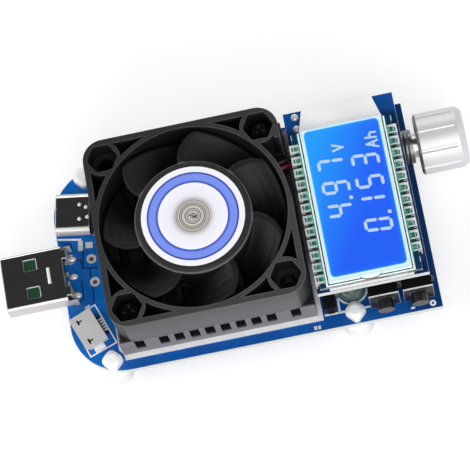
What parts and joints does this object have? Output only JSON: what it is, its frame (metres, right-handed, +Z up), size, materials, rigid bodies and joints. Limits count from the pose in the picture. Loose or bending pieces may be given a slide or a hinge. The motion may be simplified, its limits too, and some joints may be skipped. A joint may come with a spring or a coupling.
{
  "type": "dc electronic load",
  "caption": "Open-board USB load tester: fan-cooled heatsink, raised LCD, USB-A plug, USB-C and micro-USB receptacles, control knob, side buttons and nylon feet.",
  "frame": {"origin": "bottom centre of the overall box, on the surface that the feet stand on", "axes": "+X along the board from the USB-A plug to the knob, +Y to the back edge, +Z up"},
  "size_m": [0.0984, 0.0466, 0.0258],
  "materials": {
    "board_blue": "blue solder mask over fibreglass",
    "nylon_white": "moulded natural nylon",
    "pad_white": "soft silicone sheet",
    "anodised_black": "black anodised extrusion",
    "fan_black": "satin moulded black",
    "bronze": "sintered bronze",
    "steel_core": "stacked laminations",
    "copper": "enamelled copper winding",
    "board_green": "green solder mask",
    "screw_black": "black oxide, glossy",
    "steel": "plated steel",
    "wire_red": "smooth insulation",
    "wire_black": "smooth insulation",
    "connector_white": "moulded nylon",
    "rotor_black": "smooth moulded black",
    "magnet": "bonded ferrite",
    "label_white": "printed film with a blue ring",
    "connector_black": "moulded black",
    "gold_pins": "gold flash",
    "backlight_white": "white light guide",
    "display_glass": "clear float glass",
    "display_film": "lit blue display film",
    "tinned_pins": "tin plate",
    "nickel_shell": "bright nickel sheet",
    "brushed_shell": "brushed nickel sheet",
    "insulator_green": "moulded green",
    "control_green": "moulded body",
    "aluminium": "turned bright",
    "button_black": "moulded black",
    "lens_clear": "clear epoxy",
    "chip_black": "moulded epoxy"
  },
  "bodies": {
    "board_assembly": {"main_board": "board_blue", "board_feet": "nylon_white", "thermal_pad": "pad_white", "heatsink": "anodised_black", "fan_frame": "fan_black", "fan_bearing": "bronze", "fan_stator": "steel_core", "stator_coils": "copper", "fan_circuit_board": "board_green", "fan_screws": "screw_black", "fan_screw_nuts": "steel", "fan_wire_red": "wire_red", "fan_wire_black": "wire_black", "fan_plug": "connector_white", "fan_socket": "connector_white", "display_board": "board_blue", "display_headers": "connector_black", "header_pins": "gold_pins", "lcd_backlight": "backlight_white", "lcd_rear_glass": "display_glass", "lcd_front_glass": "display_glass", "lcd_polariser": "display_film", "lcd_pins": "tinned_pins", "usb_a_shell": "nickel_shell", "usb_a_insulator": "insulator_green", "usb_a_contacts": "gold_pins", "usb_c_shell": "nickel_shell", "usb_c_tongue": "connector_black", "usb_c_contacts": "gold_pins", "micro_usb_shell": "brushed_shell", "micro_usb_tongue": "connector_black", "micro_usb_contacts": "tinned_pins", "pot_body": "control_green", "pot_bushing": "steel", "pot_terminals": "tinned_pins", "switch_bodies": "connector_black", "switch_brackets": "tinned_pins", "switch_domes": "steel", "led_lens": "lens_clear", "led_leads": "tinned_pins", "control_chip": "chip_black", "power_transistor": "chip_black", "transistor_tab": "tinned_pins", "shunt_resistor": "chip_black", "clamp_diode": "chip_black", "chip_resistors": "chip_black"},
    "rotor": {"fan_rotor": "rotor_black", "rotor_yoke": "steel", "fan_magnet": "magnet", "fan_shaft": "steel", "hub_label": "label_white"},
    "control_knob": {"knob": "aluminium", "pot_shaft": "aluminium"},
    "left_button": {"button_left": "button_black"},
    "right_button": {"button_right": "button_black"}
  },
  "joints": [
    {"name": "fan_spin", "type": "hinge", "parent": "board_assembly", "child": "rotor", "pos_m": [-0.00725, 0.0006, 0.0203], "axis": [0, 0, 1], "continuous": true},
    {"name": "knob_turn", "type": "hinge", "parent": "board_assembly", "child": "control_knob", "pos_m": [0.03935, 0.0101, 0.0141], "axis": [1, 0, 0], "range_deg": [-150, 150]},
    {"name": "left_button_press", "type": "slide", "parent": "board_assembly", "child": "left_button", "axis": [0, 1, 0], "range_m": [0, 0.00025], "stiffness_N_per_m": 800},
    {"name": "right_button_press", "type": "slide", "parent": "board_assembly", "child": "right_button", "axis": [0, 1, 0], "range_m": [0, 0.00025], "stiffness_N_per_m": 800}
  ]
}
